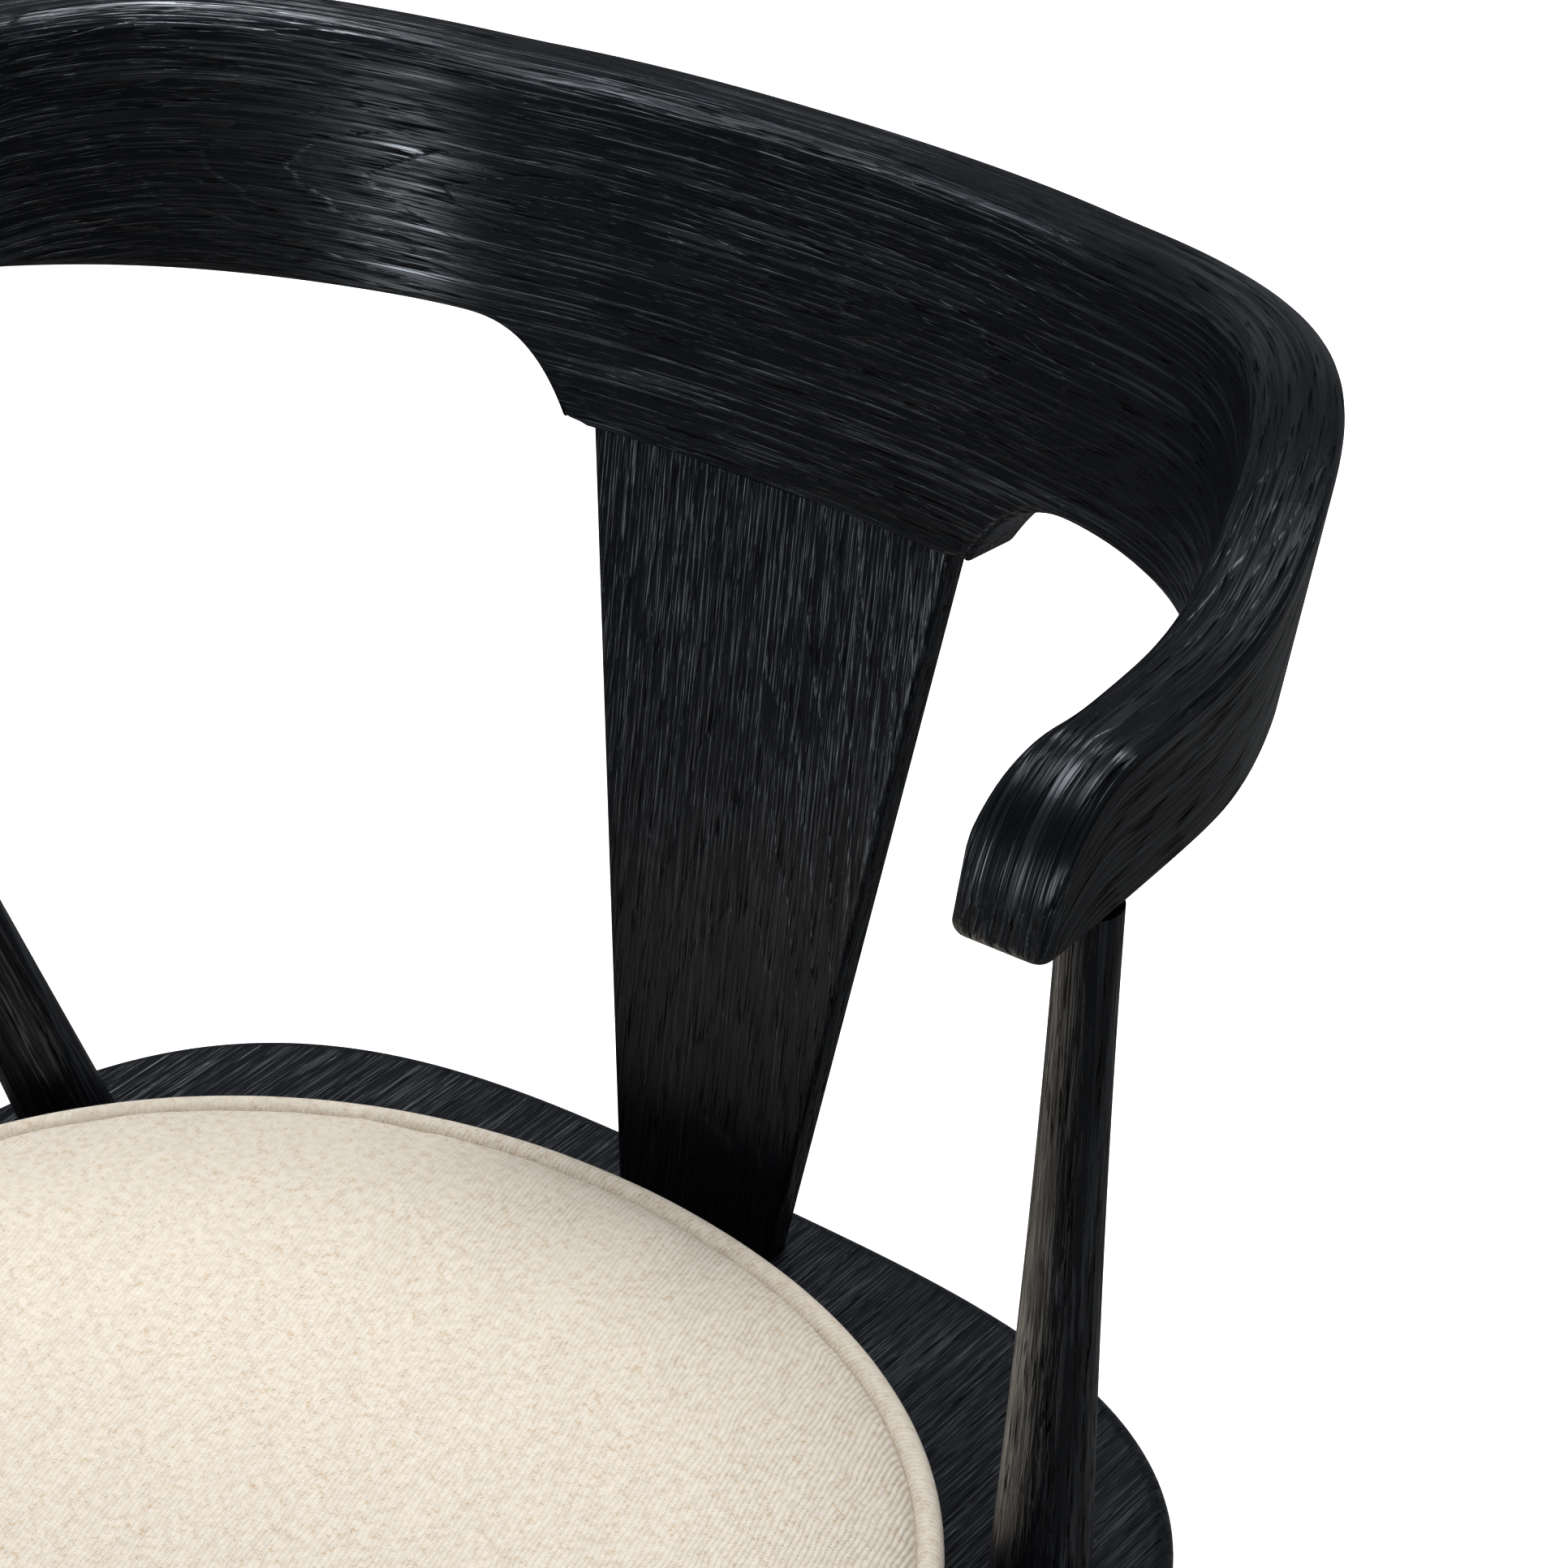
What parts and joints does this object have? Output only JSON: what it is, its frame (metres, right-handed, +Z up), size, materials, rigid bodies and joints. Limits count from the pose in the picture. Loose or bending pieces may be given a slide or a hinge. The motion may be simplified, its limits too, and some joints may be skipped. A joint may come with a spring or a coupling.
{
  "type": "wooden armchair",
  "caption": "Black oak armchair with a T-shaped back, a curved crest rail flowing into short arms on leaning posts, and a round cloth seat cushion.",
  "frame": {"origin": "on the floor, under the middle of the bounding box", "axes": "+Z up, -Y the way the sitter faces, +X to the viewer's right when the chair is seen from the front"},
  "size_m": [0.54, 0.5378, 0.796],
  "materials": {
    "black_oak": "satin",
    "beech": "unfinished",
    "plywood": "unfinished",
    "foam": "open cell",
    "oatmeal_cloth": "woven",
    "zinc_steel": "zinc plated",
    "nylon": "matte"
  },
  "bodies": {
    "root": {"arm_dowel_left_lower": "beech", "arm_dowel_left_upper": "beech", "arm_dowel_right_lower": "beech", "arm_dowel_right_upper": "beech", "arm_left": "black_oak", "arm_post_left": "black_oak", "arm_post_right": "black_oak", "arm_right": "black_oak", "back_splat": "black_oak", "batten_screw_back_left": "zinc_steel", "batten_screw_back_right": "zinc_steel", "batten_screw_front_left": "zinc_steel", "batten_screw_front_right": "zinc_steel", "batten_screw_middle_left": "zinc_steel", "batten_screw_middle_right": "zinc_steel", "crest_rail": "black_oak", "cushion_board": "plywood", "cushion_bolt_back_left": "zinc_steel", "cushion_bolt_back_right": "zinc_steel", "cushion_bolt_front_left": "zinc_steel", "cushion_bolt_front_right": "zinc_steel", "cushion_boxing": "oatmeal_cloth", "cushion_foam": "foam", "cushion_tee_nut_back_left": "zinc_steel", "cushion_tee_nut_back_right": "zinc_steel", "cushion_tee_nut_front_left": "zinc_steel", "cushion_tee_nut_front_right": "zinc_steel", "cushion_top_panel": "oatmeal_cloth", "cushion_welt": "oatmeal_cloth", "glide_back_left": "nylon", "glide_back_right": "nylon", "glide_front_left": "nylon", "glide_front_right": "nylon", "leg_back_left": "black_oak", "leg_back_right": "black_oak", "leg_front_left": "black_oak", "leg_front_right": "black_oak", "seat_batten_left": "black_oak", "seat_batten_right": "black_oak", "seat_board": "black_oak", "splat_dowel_base_left": "beech", "splat_dowel_base_right": "beech", "splat_dowel_top_left": "beech", "splat_dowel_top_right": "beech"}
  },
  "joints": []
}
